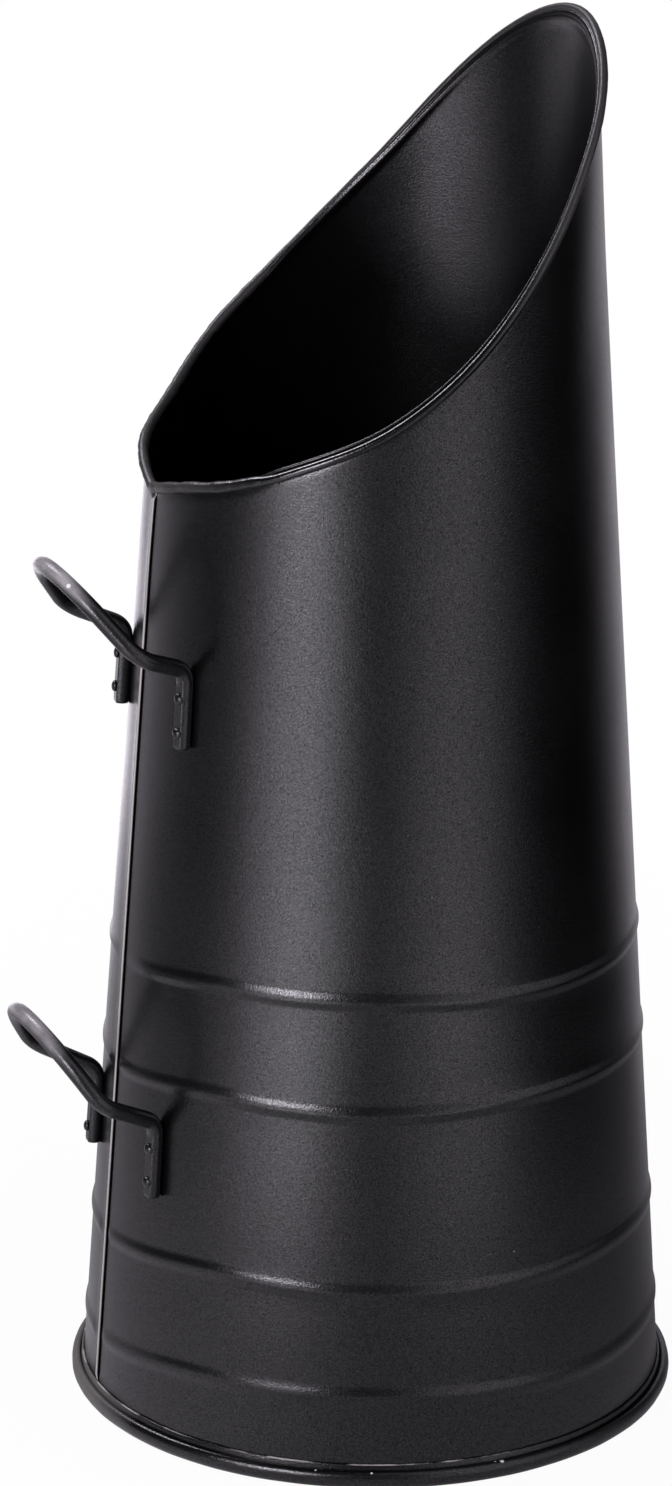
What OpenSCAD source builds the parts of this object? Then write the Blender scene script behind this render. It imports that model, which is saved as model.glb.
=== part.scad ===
// Tall tapered coal scuttle: a rolled sheet body with swaged beads and a lock seam, a round rod
// brazed along its slanted mouth, a dished base plate, a foot ring rolled over a wire, and two
// bow handles that are riveted to the low side.
// The origin is the centre of the foot ring's underside. +Z is up, the handles point to -X
// and the tall pouring lip is at +X.

/* [Body] */
// Outer diameter of the body sheet, measured at floor level
base_d = 240; // [180:1:320]
// Lean of the body wall towards the axis, in degrees
taper = 3.8; // [1:0.1:6]
// Thickness of the body sheet
sheet_t = 1.0; // [0.6:0.1:2]
// Height of the body sheet's lower edge above the floor
sheet_bottom_z = 1.5; // [0.5:0.1:4]
// Direction of the lock seam, in degrees round from the pouring lip
seam_angle = 175; // [165:1:185]
// Width of the folded lock seam
seam_w = 5; // [3:0.5:9]
// How far the folded seam stands off the sheet
seam_h = 1.2; // [0.6:0.1:2]

/* [Beads] */
// Height of the lowest bead's crest
bead_z = 37; // [28:1:50]
// Height from the first to the second bead of a pair
bead_gap = 45; // [25:1:60]
// Height from the lower pair to the upper pair
bead_pair_pitch = 119; // [100:1:135]
// Height of a bead along the wall
bead_w = 8; // [5:0.5:14]
// How far a bead's crest stands off the sheet
bead_h = 1.0; // [0.5:0.1:2]

/* [Mouth] */
// Height of the mouth edge at the low side, over the handles
mouth_low_z = 398; // [375:1:430]
// Height of the mouth edge at the pouring lip
mouth_lip_z = 570; // [540:1:620]
// Slope of the mouth at the low side, in degrees
mouth_low_angle = 30; // [24:1:36]
// Slope of the mouth at the pouring lip, in degrees
mouth_lip_angle = 57; // [50:1:62]
// Radius that blends the two slopes, seen from the side
mouth_blend_r = 275; // [150:5:330]
// Diameter of the round rod brazed outside the mouth edge
rim_rod_d = 3.8; // [3:0.1:6]
// How far the sheet's edge stands past the rod
rim_lip = 0.3; // [0.1:0.1:1]

/* [Foot] */
// Height of the foot ring
foot_h = 9; // [7:0.5:16]
// Thickness of the foot ring's sheet
foot_t = 0.9; // [0.6:0.1:1.5]
// Diameter of the rolled bead along the foot ring's lower edge
foot_bead_d = 4.6; // [4:0.1:7]
// Depth of the flat that the foot bead stands on
foot_flat = 0.1; // [0.05:0.05:0.4]
// Width of the slit where the bead's rolled edge meets the collar
foot_slit = 0.3; // [0.1:0.1:0.6]

/* [Base] */
// Height of the base plate's upper face above the floor
base_z = 12; // [7:0.5:25]
// Thickness of the base plate
base_t = 1.2; // [0.8:0.1:2]
// Radius of the bend between the base plate and its flange
base_bend_r = 3; // [2:0.5:5]

/* [Handles] */
// Diameter of the handle rod
rod_d = 6.8; // [5:0.1:9]
// Distance between a handle's two legs, centre to centre
leg_spread = 64; // [50:1:80]
// Distance from a leg's upper rivet to the bend above it
leg_over = 6; // [3:0.5:12]
// Height of the upper handle's leg ends
upper_leg_z = 293; // [240:1:320]
// Height of the lower handle's leg ends
lower_leg_z = 105; // [90:1:118]
// Distance from the rod's centre to the flat that lies on the body
leg_in = 2.8; // [2:0.1:3.3]
// Distance from the rod's centre to the outer flat under the rivet heads
leg_out = 2.6; // [2:0.1:3.3]
// Bend radius at the top of a leg, along the rod's centre
leg_bend_r = 7.5; // [6:0.5:12]
// Rise of the shoulder that leaves the leg, in degrees
shoulder_rise = 23; // [5:1:35]
// Length of the straight shoulder
shoulder_l = 15; // [6:0.5:25]
// Bend radius between the shoulder and the arm, along the rod's centre
arm_bend_r = 15; // [8:1:25]
// Length of the straight arm between that bend and the bow
arm_l = 6; // [2:0.5:15]
// How far the two arms turn in towards each other, in degrees
arm_turn_in = 25; // [10:1:30]
// Tilt of the arms and the bow, in degrees
bow_tilt = 55; // [42:1:65]

/* [Rivets] */
// Diameter of a rivet's shank
rivet_d = 3; // [2:0.1:3.6]
// Diameter of a rivet's head
rivet_head_d = 4.6; // [4:0.1:6]
// Height of a rivet's head
rivet_head_h = 1.6; // [1:0.1:2.2]
// Diameter of the peened tail inside the body
rivet_tail_d = 5; // [4:0.1:7]
// Height of the peened tail
rivet_tail_h = 1.1; // [0.8:0.1:1.8]
// Distance from a leg's end to its first rivet
rivet_end = 6.5; // [5:0.5:9]
// Distance between a leg's two rivets
rivet_pitch = 14; // [10:0.5:16]

/* [Fits] */
// Gap between a rivet's shank and its hole, on the radius
rivet_gap = 0.1; // [0.05:0.05:0.3]
// Gap left between pieces that are seated on each other
seat_gap = 0.1; // [0.05:0.05:0.2]

/* [Hidden] */

// Round surfaces
round_fn = 96;
rod_fn = 32;
rivet_fn = 32;
bead_steps = 6;
blend_steps = 12;
rim_rings = 96;
rim_sides = 12;
rod_sides = 16;
leg_bend_steps = 9;
arm_bend_steps = 5;
bow_steps = 11;
foot_steps = 24;

// Sides of the object: left and right of someone who stands behind the handles
LEFT = 1;
RIGHT = -1;

// Radius of the body sheet's outer and inner face at a height, and the seat gap along that radius
lean = tan(taper);
wall_r = sheet_t / cos(taper);
wall_gap = seat_gap / cos(taper);
function outer_r(z) = base_d / 2 - lean * z;
function inner_r(z) = outer_r(z) - wall_r;

// Mouth profile, seen from the side: a low line, an arc and a steep line
mouth_low_x = -outer_r(mouth_low_z);
mouth_lip_x = outer_r(mouth_lip_z);
low_slope = tan(mouth_low_angle);
lip_slope = tan(mouth_lip_angle);
corner_x = (mouth_lip_z - mouth_low_z + low_slope * mouth_low_x - lip_slope * mouth_lip_x)
           / (low_slope - lip_slope);
corner_z = mouth_low_z + low_slope * (corner_x - mouth_low_x);
blend_reach = mouth_blend_r * tan((mouth_lip_angle - mouth_low_angle) / 2);
blend_x = corner_x - blend_reach * cos(mouth_low_angle) - mouth_blend_r * sin(mouth_low_angle);
blend_z = corner_z - blend_reach * sin(mouth_low_angle) + mouth_blend_r * cos(mouth_low_angle);

// The mouth profile moved square to itself, down for a positive depth
function blend_point(depth, angle) =
    [blend_x + (mouth_blend_r + depth) * sin(angle), blend_z - (mouth_blend_r + depth) * cos(angle)];
function profile_z(depth, x) =
    let (first = blend_point(depth, mouth_low_angle), last = blend_point(depth, mouth_lip_angle))
    x < first[0] ? first[1] + low_slope * (x - first[0])
    : x > last[0] ? last[1] + lip_slope * (x - last[0])
    : blend_z - sqrt(pow(mouth_blend_r + depth, 2) - pow(x - blend_x, 2));

// Rim rod
rim_rod_r = rim_rod_d / 2;
rim_offset = seat_gap + rim_rod_r / cos(180 / rim_sides);
rim_depth = rim_lip + rim_rod_r;
rim_settle_steps = 8;
function rim_z(angle, z, step) =
    step == 0 ? z
    : rim_z(angle, profile_z(rim_depth, (outer_r(z) + rim_offset) * cos(angle)), step - 1);
function rim_point(angle) =
    let (z = rim_z(angle, mouth_low_z, rim_settle_steps), r = outer_r(z) + rim_offset)
    [r * cos(angle), r * sin(angle), z];

// Foot ring
foot_bead_r = foot_bead_d / 2;
foot_bead_z = foot_bead_r - foot_flat;
foot_bead_x = outer_r(foot_bead_z) + wall_gap + foot_bead_r;
foot_wire_r = foot_bead_r - foot_t - seat_gap;

// A rivet's place along its leg, and the straight part of the leg
rivet_high = rivet_end + rivet_pitch;
leg_l = rivet_high + leg_over;
leg_outer_face = leg_in + leg_out + seat_gap;

// Handles: a leg lies on the body at this angle from the plane of symmetry
rod_r = rod_d / 2;
function leg_angle(leg_z) = asin(leg_spread / 2 / (outer_r(leg_z) + leg_in));

// Up and out along the body wall, in the radial plane that holds a leg
wall_up = [-sin(taper), cos(taper)];
wall_out = [cos(taper), sin(taper)];
function bend_dir(angle) = [cos(angle), sin(angle)];

// Corners of a leg's path, in its radial plane: distance from the axis and height
function leg_start(leg_z) = [outer_r(leg_z), leg_z] + (leg_in + seat_gap) * wall_out;
function leg_bend_centre(leg_z) = leg_start(leg_z) + leg_l * wall_up + leg_bend_r * wall_out;
function shoulder_start(leg_z) = leg_bend_centre(leg_z) + leg_bend_r * bend_dir(shoulder_rise + 90);
function shoulder_end(leg_z) = shoulder_start(leg_z) + shoulder_l * bend_dir(shoulder_rise);

// ---------------------------------------------------------------- shared shapes

function unit(v) = v / norm(v);

// Turns a drawing of radius against height into the radial plane at an angle
module radial_plane(angle) {
    rotate([0, 0, angle]) rotate([90, 0, 0]) children();
}

// The space above the mouth profile, moved square to it by a depth
module above_mouth(depth) {
    reach = base_d;
    top = mouth_lip_z + base_d;
    low = blend_point(depth, mouth_low_angle);
    lip = blend_point(depth, mouth_lip_angle);
    arc_points = [for (i = [0 : blend_steps])
        blend_point(depth, mouth_low_angle + (mouth_lip_angle - mouth_low_angle) * i / blend_steps)];
    rotate([90, 0, 0])
        linear_extrude(height = 2 * reach, center = true)
            polygon(concat([[-reach, top], [-reach, low[1] + low_slope * (-reach - low[0])]],
                           arc_points,
                           [[reach, lip[1] + lip_slope * (reach - lip[0])], [reach, top]]));
}

// Places a rivet, or its hole, square to the wall of the body; z = 0 is the wall's outer face
module at_rivet(leg_z, side, along) {
    foot = [outer_r(leg_z), leg_z] + along * wall_up;
    rotate([0, 0, 180 - side * leg_angle(leg_z)])
        translate([foot[0], 0, foot[1]])
            rotate([0, 90 - taper, 0])
                children();
}

module rivet_holes(leg_z) {
    hole_l = 2 * (leg_outer_face + rod_d);
    for (side = [LEFT, RIGHT], along = [rivet_end, rivet_high])
        at_rivet(leg_z, side, along)
            cylinder(h = hole_l, r = rivet_d / 2 + rivet_gap, center = true, $fn = rivet_fn);
}

// ---------------------------------------------------------------- body

function bead_bulge(z, crest) =
    abs(z - crest) < bead_w / 2 ? bead_h * (1 + cos(360 * (z - crest) / bead_w)) / 2 : 0;
bead_crests = [bead_z, bead_z + bead_gap, bead_z + bead_pair_pitch,
               bead_z + bead_pair_pitch + bead_gap];
body_top_z = mouth_lip_z + sheet_t;
wall_heights = concat([sheet_bottom_z],
                      [for (crest = bead_crests, i = [0 : 2 * bead_steps])
                          crest + bead_w * (i / bead_steps - 1) / 2],
                      [body_top_z]);
function bead_sum(z) = [for (crest = bead_crests) bead_bulge(z, crest)] * [1, 1, 1, 1];

module sheet_section() {
    outside = [for (z = wall_heights) [outer_r(z) + bead_sum(z), z]];
    inside = [for (z = wall_heights) [inner_r(z) + bead_sum(z), z]];
    count = len(wall_heights);
    polygon(concat(outside, [for (i = [1 : count]) inside[count - i]]));
}

// The folded seam lies on the outside of the sheet and is half sunk into its thickness
module seam_fold() {
    fold_bottom = foot_h + seat_gap;
    fold_l = body_top_z / cos(taper);
    sink = sheet_t / 2;
    rotate([0, 0, seam_angle])
        translate([outer_r(fold_bottom), 0, fold_bottom])
            rotate([0, -taper, 0])
                translate([-sink, -seam_w / 2, 0])
                    cube([sink + seam_h, seam_w, fold_l]);
}

module body_shell() {
    color("#1d1d1f")
        difference() {
            union() {
                rotate_extrude($fn = round_fn) sheet_section();
                difference() {
                    seam_fold();
                    above_mouth(rim_depth + rim_rod_r + 2 * seat_gap);
                }
            }
            above_mouth(0);
            rivet_holes(upper_leg_z);
            rivet_holes(lower_leg_z);
        }
}

// ---------------------------------------------------------------- rim rod

// One ring of the rod's skin, square to the rod's path
function rim_ring(index) =
    let (step = 360 / rim_rings,
         angle = step * index,
         centre = rim_point(angle),
         along = unit(rim_point(angle + step / 2) - rim_point(angle - step / 2)),
         out = [cos(angle), sin(angle), 0],
         across = unit(out - (out * along) * along),
         up = cross(along, across))
    [for (i = [0 : rim_sides - 1])
        let (turn = 360 * (i + 0.5) / rim_sides)
        centre + rim_rod_r * (cos(turn) * across + sin(turn) * up)];

module rim_rod() {
    points = [for (k = [0 : rim_rings - 1]) each rim_ring(k)];
    faces = [for (k = [0 : rim_rings - 1], i = [0 : rim_sides - 1])
        let (next_k = (k + 1) % rim_rings,
             next_i = (i + 1) % rim_sides,
             a = k * rim_sides + i,
             b = next_k * rim_sides + i,
             c = next_k * rim_sides + next_i,
             d = k * rim_sides + next_i)
        each [[a, d, b], [d, c, b]]];
    color("#232325")
        polyhedron(points = points, faces = faces);
}

// ---------------------------------------------------------------- base and foot

// A flat floor with a flange turned down against the inside of the body
module base_plate() {
    flange_bottom = sheet_bottom_z;
    bend_z = base_z - base_bend_r;
    flange_t = base_t / cos(taper);
    bend_x = inner_r(bend_z) - wall_gap - base_bend_r;
    bend_points = [for (i = [0 : bead_steps])
        [bend_x, bend_z] + base_bend_r * bend_dir(taper + (90 - taper) * i / bead_steps)];
    inner_bend = [for (i = [0 : bead_steps])
        [bend_x, bend_z] + (base_bend_r - base_t) * bend_dir(90 - (90 - taper) * i / bead_steps)];
    color("#1b1b1c")
        rotate_extrude($fn = round_fn)
            polygon(concat([[0, base_z - base_t], [0, base_z]],
                           [for (i = [0 : bead_steps]) bend_points[bead_steps - i]],
                           [[inner_r(flange_bottom) - wall_gap, flange_bottom],
                            [inner_r(flange_bottom) - wall_gap - flange_t, flange_bottom]],
                           [for (i = [0 : bead_steps]) inner_bend[bead_steps - i]]));
}

// A collar round the body whose lower edge is rolled out and up into a bead; the rolled edge
// stops a slit short of the collar
function foot_bead_point(r, angle) =
    [foot_bead_x + r * cos(angle), max(0, foot_bead_z + r * sin(angle))];
module foot_section() {
    hollow_r = foot_bead_r - foot_t;
    edge_x = foot_slit - hollow_r;
    outer_end = acos(edge_x / foot_bead_r);
    hollow_end = acos(edge_x / hollow_r);
    polygon(concat([[outer_r(foot_h) + wall_gap + foot_t, foot_h],
                    [outer_r(foot_h) + wall_gap, foot_h]],
                   [for (i = [0 : foot_steps])
                       foot_bead_point(foot_bead_r, -180 + (180 + outer_end) * i / foot_steps)],
                   [for (i = [0 : foot_steps])
                       foot_bead_point(hollow_r, hollow_end - (180 + hollow_end) * i / foot_steps)]));
}

module foot_ring() {
    color("#202022")
        rotate_extrude($fn = round_fn) foot_section();
}

module foot_wire() {
    color("#3a3a3c")
        rotate_extrude($fn = round_fn)
            translate([foot_bead_x, foot_bead_z]) circle(r = foot_wire_r, $fn = rod_fn);
}

// ---------------------------------------------------------------- handles

// One half of a handle's path, from the leg's end to the bow's apex, as [point, direction] pairs.
// Leg and shoulder lie in the leg's radial plane, and the arm and the bow in their own tilted plane.
function lift(side, leg_z, flat_v) =
    let (angle = 180 - side * leg_angle(leg_z))
    [flat_v[0] * cos(angle), flat_v[0] * sin(angle), flat_v[1]];
bow_out = [-cos(bow_tilt), 0, sin(bow_tilt)];
function arm_dir(side) = cos(arm_turn_in) * bow_out - sin(arm_turn_in) * [0, side, 0];
function leg_path(side, leg_z) =
    let (flat = concat(
        [[leg_start(leg_z), wall_up]],
        [for (i = [0 : leg_bend_steps])
            let (turn = 180 + taper + (shoulder_rise - 90 - taper) * i / leg_bend_steps)
            [leg_bend_centre(leg_z) + leg_bend_r * bend_dir(turn), bend_dir(turn - 90)]]))
    [for (place = flat) [for (v = place) lift(side, leg_z, v)]];
function arm_path(side, leg_z) =
    let (start = lift(side, leg_z, shoulder_end(leg_z)),
         from = lift(side, leg_z, bend_dir(shoulder_rise)),
         to = arm_dir(side),
         turn_in = acos(from * to),
         inward = unit(to - (from * to) * from),
         centre = start + arm_bend_r * inward)
    [for (i = [0 : arm_bend_steps])
        let (turn = turn_in * i / arm_bend_steps)
        [centre + arm_bend_r * (sin(turn) * from - cos(turn) * inward),
         cos(turn) * from + sin(turn) * inward]];
function bow_path(side, arm_start) =
    let (sideways = [0, side, 0],
         arm_end = arm_start + arm_l * arm_dir(side),
         bow_r = abs(arm_end[1]) / cos(arm_turn_in),
         centre = arm_end - bow_r * (cos(arm_turn_in) * sideways + sin(arm_turn_in) * bow_out))
    [for (i = [0 : bow_steps])
        let (turn = arm_turn_in + (90 - arm_turn_in) * i / bow_steps)
        [centre + bow_r * (cos(turn) * sideways + sin(turn) * bow_out),
         cos(turn) * bow_out - sin(turn) * sideways]];
function half_path(side, leg_z) =
    let (arm = arm_path(side, leg_z))
    concat(leg_path(side, leg_z), arm, bow_path(side, arm[arm_bend_steps][0]));
function handle_path(leg_z) =
    let (left = half_path(LEFT, leg_z), right = half_path(RIGHT, leg_z), last = len(right) - 1)
    concat(left, [for (i = [1 : last]) [right[last - i][0], -right[last - i][1]]]);

// The round rod along that path
module handle_rod(leg_z) {
    path = handle_path(leg_z);
    count = len(path);
    bow_normal = [sin(bow_tilt), 0, cos(bow_tilt)];
    points = [for (place = path)
        let (across = unit(cross(bow_normal, place[1])),
             up = cross(place[1], across))
        each [for (i = [0 : rod_sides - 1])
            let (turn = 360 * i / rod_sides)
            place[0] + rod_r * (cos(turn) * across + sin(turn) * up)]];
    skin = [for (k = [0 : count - 2], i = [0 : rod_sides - 1])
        let (next_i = (i + 1) % rod_sides,
             a = k * rod_sides + i,
             b = (k + 1) * rod_sides + i,
             c = (k + 1) * rod_sides + next_i,
             d = k * rod_sides + next_i)
        each [[a, d, b], [d, c, b]]];
    start_cap = [for (i = [0 : rod_sides - 1]) rod_sides - 1 - i];
    end_cap = [for (i = [0 : rod_sides - 1]) (count - 1) * rod_sides + i];
    polyhedron(points = points, faces = concat(skin, [start_cap, end_cap]));
}

// The flats of one leg: the inner one lies on the body, the outer one is under the rivet heads
module leg_flats(leg_z, side) {
    cut_w = 2 * rod_d;
    radial_plane(180 - side * leg_angle(leg_z))
        translate(leg_start(leg_z))
            rotate([0, 0, 90 + taper]) {
                translate([-rod_d, leg_in, -rod_d])
                    cube([rod_d + leg_l + cut_w, rod_d, cut_w]);
                translate([-rod_d, -leg_out - rod_d, -rod_d])
                    cube([rod_d + leg_l, rod_d, cut_w]);
            }
}

module handle(leg_z) {
    color("#262628")
        difference() {
            handle_rod(leg_z);
            leg_flats(leg_z, LEFT);
            leg_flats(leg_z, RIGHT);
            rivet_holes(leg_z);
        }
}

module upper_handle() {
    handle(upper_leg_z);
}

module lower_handle() {
    handle(lower_leg_z);
}

// ---------------------------------------------------------------- rivets

// A domed head outside the leg, a shank through leg and sheet, and a peened tail inside
module dome(dome_d, dome_h) {
    sphere_r = (pow(dome_d / 2, 2) + pow(dome_h, 2)) / (2 * dome_h);
    intersection() {
        translate([0, 0, dome_h - sphere_r]) sphere(r = sphere_r, $fn = round_fn);
        cylinder(h = 2 * dome_h, d = 2 * dome_d, $fn = rivet_fn);
    }
}

module rivet(leg_z, side, along) {
    head_base = leg_outer_face + seat_gap;
    tail_base = -sheet_t - seat_gap;
    color("#2c2c2e")
        at_rivet(leg_z, side, along)
            union() {
                translate([0, 0, tail_base])
                    cylinder(h = head_base - tail_base, d = rivet_d, $fn = rivet_fn);
                translate([0, 0, head_base]) dome(rivet_head_d, rivet_head_h);
                translate([0, 0, tail_base]) mirror([0, 0, 1]) dome(rivet_tail_d, rivet_tail_h);
            }
}

body_shell();
rim_rod();
base_plate();
foot_ring();
foot_wire();
upper_handle();
lower_handle();
rivet(upper_leg_z, LEFT, rivet_high);  // rivet_upper_left_high
rivet(upper_leg_z, LEFT, rivet_end);  // rivet_upper_left_low
rivet(upper_leg_z, RIGHT, rivet_high);  // rivet_upper_right_high
rivet(upper_leg_z, RIGHT, rivet_end);  // rivet_upper_right_low
rivet(lower_leg_z, LEFT, rivet_high);  // rivet_lower_left_high
rivet(lower_leg_z, LEFT, rivet_end);  // rivet_lower_left_low
rivet(lower_leg_z, RIGHT, rivet_high);  // rivet_lower_right_high
rivet(lower_leg_z, RIGHT, rivet_end);  // rivet_lower_right_low
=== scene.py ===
"""Looks of a black sheet-metal coal scuttle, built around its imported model.

Smooth, slightly hand-formed meshes stand for the body sheet, the mouth's rod, the foot ring, the
handles and the rivets. The base plate and the wire in the foot ring stay as they are packed.
Lengths in this file are in millimetres until a mesh is made, which is in metres.
"""
from math import acos, asin, cos, pi, radians, sin, tan

import bpy
import numpy as np
from mathutils import Matrix, Vector


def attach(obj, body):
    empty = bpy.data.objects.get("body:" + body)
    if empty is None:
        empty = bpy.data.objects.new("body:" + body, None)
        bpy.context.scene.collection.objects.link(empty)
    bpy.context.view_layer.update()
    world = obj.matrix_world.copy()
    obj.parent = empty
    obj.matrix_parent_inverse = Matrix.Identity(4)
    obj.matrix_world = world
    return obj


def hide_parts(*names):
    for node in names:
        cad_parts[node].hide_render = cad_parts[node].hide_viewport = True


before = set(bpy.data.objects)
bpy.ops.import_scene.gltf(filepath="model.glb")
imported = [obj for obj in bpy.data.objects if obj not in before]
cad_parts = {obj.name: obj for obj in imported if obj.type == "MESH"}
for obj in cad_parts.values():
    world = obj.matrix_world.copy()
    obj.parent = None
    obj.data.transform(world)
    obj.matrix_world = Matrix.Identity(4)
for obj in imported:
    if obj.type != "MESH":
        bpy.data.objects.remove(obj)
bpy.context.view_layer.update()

MM = 0.001

# ------------------------------------------------------------------ driving sizes, as packed (mm)

BASE_R = 120.0           # body sheet's outer radius at floor level
TAPER = radians(3.8)     # lean of the wall
SHEET_T = 1.0
SHEET_BOTTOM_Z = 1.5
SEAM_ANGLE = radians(175)
SEAM_W = 5.0
BEAD_Z = (37.0, 82.0, 156.0, 201.0)
BEAD_W = 8.0
BEAD_H = 1.0
MOUTH_LOW_Z = 398.0
MOUTH_LIP_Z = 570.0
MOUTH_LOW_SLOPE = radians(30)
MOUTH_LIP_SLOPE = radians(57)
MOUTH_BLEND_R = 275.0
FOOT_H = 9.0
FOOT_T = 0.9
FOOT_BEAD_R = 2.3
FOOT_FLAT = 0.1
FOOT_SLIT = 0.3
ROD_R = 3.4
LEG_SPREAD = 64.0
LEG_IN = 2.8
LEG_OUT = 2.6
LEG_BEND_R = 7.5
LEG_L = 26.5
RIVET_ALONG = {"low": 6.5, "high": 20.5}
RIVET_R = 1.5
RIVET_HEAD_R = 2.3
RIVET_HEAD_H = 1.6
RIVET_TAIL_R = 2.5
RIVET_TAIL_H = 1.1
SEAT_GAP = 0.1

LEAN = tan(TAPER)
WALL_R = SHEET_T / cos(TAPER)
WALL_GAP = SEAT_GAP / cos(TAPER)
LEFT, RIGHT = 1, -1      # sides, seen by someone behind the handles


def outer_r(z):
    """Radius of the body's outer face at a height."""
    return BASE_R - LEAN * z


def smooth(edge0, edge1, x):
    """0 before edge0, 1 after edge1, and a smooth step between them; works on arrays."""
    t = np.clip((x - edge0) / (edge1 - edge0), 0.0, 1.0)
    return t * t * (3 - 2 * t)


# ------------------------------------------------------------------ mouth profile, from the side

LOW_T, LIP_T = tan(MOUTH_LOW_SLOPE), tan(MOUTH_LIP_SLOPE)
MOUTH_LOW_X = -outer_r(MOUTH_LOW_Z)
MOUTH_LIP_X = outer_r(MOUTH_LIP_Z)
CORNER_X = (MOUTH_LIP_Z - MOUTH_LOW_Z + LOW_T * MOUTH_LOW_X - LIP_T * MOUTH_LIP_X) / (LOW_T - LIP_T)
CORNER_Z = MOUTH_LOW_Z + LOW_T * (CORNER_X - MOUTH_LOW_X)
BLEND_REACH = MOUTH_BLEND_R * tan((MOUTH_LIP_SLOPE - MOUTH_LOW_SLOPE) / 2)
BLEND_X = CORNER_X - BLEND_REACH * cos(MOUTH_LOW_SLOPE) - MOUTH_BLEND_R * sin(MOUTH_LOW_SLOPE)
BLEND_Z = CORNER_Z - BLEND_REACH * sin(MOUTH_LOW_SLOPE) + MOUTH_BLEND_R * cos(MOUTH_LOW_SLOPE)


def mouth_z(depth, x):
    """Height of the mouth profile at x, moved down square to itself by a depth."""
    r = MOUTH_BLEND_R + depth
    x_low, x_lip = BLEND_X + r * sin(MOUTH_LOW_SLOPE), BLEND_X + r * sin(MOUTH_LIP_SLOPE)
    z_low, z_lip = BLEND_Z - r * cos(MOUTH_LOW_SLOPE), BLEND_Z - r * cos(MOUTH_LIP_SLOPE)
    arc = BLEND_Z - np.sqrt(np.maximum(r * r - (x - BLEND_X) ** 2, 0.0))
    return np.where(x < x_low, z_low + LOW_T * (x - x_low),
                    np.where(x > x_lip, z_lip + LIP_T * (x - x_lip), arc))


def edge_height(angle, depth, offset):
    """Height at which the wall, moved out by an offset, meets the mouth profile at an angle."""
    z = np.full_like(angle, MOUTH_LOW_Z)
    for _ in range(12):
        z = mouth_z(depth, (outer_r(z) + offset) * np.cos(angle))
    return z


# ------------------------------------------------------------------ hand-formed irregularity

def waves(a, z, seed):
    """A smooth, repeatable unevenness between about -1 and 1 over the angle and the height."""
    return (0.40 * np.sin(2 * a + z / 83.0 + seed)
            + 0.30 * np.sin(5 * a - z / 61.0 + 2.1 * seed)
            + 0.20 * np.sin(9 * a + z / 37.0 + 3.7 * seed)
            + 0.10 * np.sin(17 * a - z / 23.0 + 5.3 * seed))


def wrap(angle):
    """An angle brought between -pi and pi; works on arrays."""
    return (angle + pi) % (2 * pi) - pi


def within(a, start, end, fade):
    """1 from one angle to another, running down to 0 over a fade on each side."""
    middle, half = (start + end) / 2, (end - start) / 2
    return 1 - smooth(half, half + fade, np.abs(wrap(a - middle)))


WALL_WAVE = 0.18         # unevenness of the rolled sheet, which the foot ring takes away at the bottom
WAVE_FROM, WAVE_TO = 15.0, 60.0
# Where the mouth is pressed in (below 0) or stands out: middle, half of the stretch, how far
MOUTH_BENDS = ((radians(135), radians(28), -4.5), (radians(92), radians(32), 1.2),
               (radians(-45), radians(34), 1.8))
BEND_REACH = 90.0        # how far down the wall these bends fade
CORNER_DROP = 7.0        # the mouth comes down to a pointed corner at the seam
CORNER_HALF = radians(22)
# The lip and the near edge hang a little lower than packed: from, to and how far
LIP_DROPS = ((radians(-110), radians(50), 1.6), (radians(-30), radians(58), 1.3))
LIP_FADE = radians(25)
DROP_REACH = 45.0        # how far down the wall the corner's and the lip's drop fade


def warp(points):
    """Moves points on or near the wall as the hand-rolled sheet is; all the mouth's pieces use it."""
    p = np.array(points, float)
    a = np.arctan2(p[..., 1], p[..., 0])
    r = np.hypot(p[..., 0], p[..., 1])
    z = p[..., 2]
    below = z - edge_height(a, 0.0, 0.0)
    bend = sum(out * within(a, middle, middle, half) for middle, half, out in MOUTH_BENDS)
    move = WALL_WAVE * waves(a, z, 1.3) * smooth(WAVE_FROM, WAVE_TO, z)
    move = move + bend * smooth(-BEND_REACH, 0.0, below)
    corner = np.maximum(0.0, 1 - np.abs(wrap(a - SEAM_ANGLE)) / CORNER_HALF) ** 1.5
    drop = sum(down * within(a, start, end, LIP_FADE) for start, end, down in LIP_DROPS)
    drop = drop + CORNER_DROP * corner
    k = (r + move) / np.maximum(r, 1e-6)
    p[..., 0] *= k
    p[..., 1] *= k
    p[..., 2] -= drop * smooth(-DROP_REACH, 0.0, below)
    return p


ROD_R_SEEN = 1.75        # the rod's own radius; under paint it looks a little thinner than packed
LIP_SEEN = 0.6           # how far the sheet's edge stands past the rod
HEM_R = 2.2              # the rounder, lumpy roll on the seam's side, which hides the sheet's edge
HEM_FROM, HEM_TO = radians(98), radians(213)
HEM_FADE = radians(9)
HEM_COVER = 1.6          # how far the sheet's edge stops below the roll's top


def hem(a):
    """1 where the mouth's edge is the lumpy roll, 0 where it is the plain rod."""
    return within(a, HEM_FROM, HEM_TO, HEM_FADE)


# ------------------------------------------------------------------ mesh helpers

def make_piece(name, vertices, faces, replaced):
    """A smooth-shaded piece, put in metres, that rides on the only body."""
    mesh = bpy.data.meshes.new(name)
    mesh.from_pydata([tuple(v) for v in np.asarray(vertices) * MM], [], [tuple(f) for f in faces])
    mesh.validate()
    mesh.update()
    mesh.shade_smooth()
    piece = bpy.data.objects.new(name, mesh)
    bpy.context.scene.collection.objects.link(piece)
    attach(piece, "root")
    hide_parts(*replaced)


def grid_faces(rows, columns, close_rows, close_columns, first=0):
    """Quads over a grid of vertices stored row by row."""
    faces = []
    for i in range(rows if close_rows else rows - 1):
        below, above = i * columns, ((i + 1) % rows) * columns
        for j in range(columns if close_columns else columns - 1):
            k = (j + 1) % columns
            faces.append((first + below + j, first + below + k, first + above + k, first + above + j))
    return faces


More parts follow.
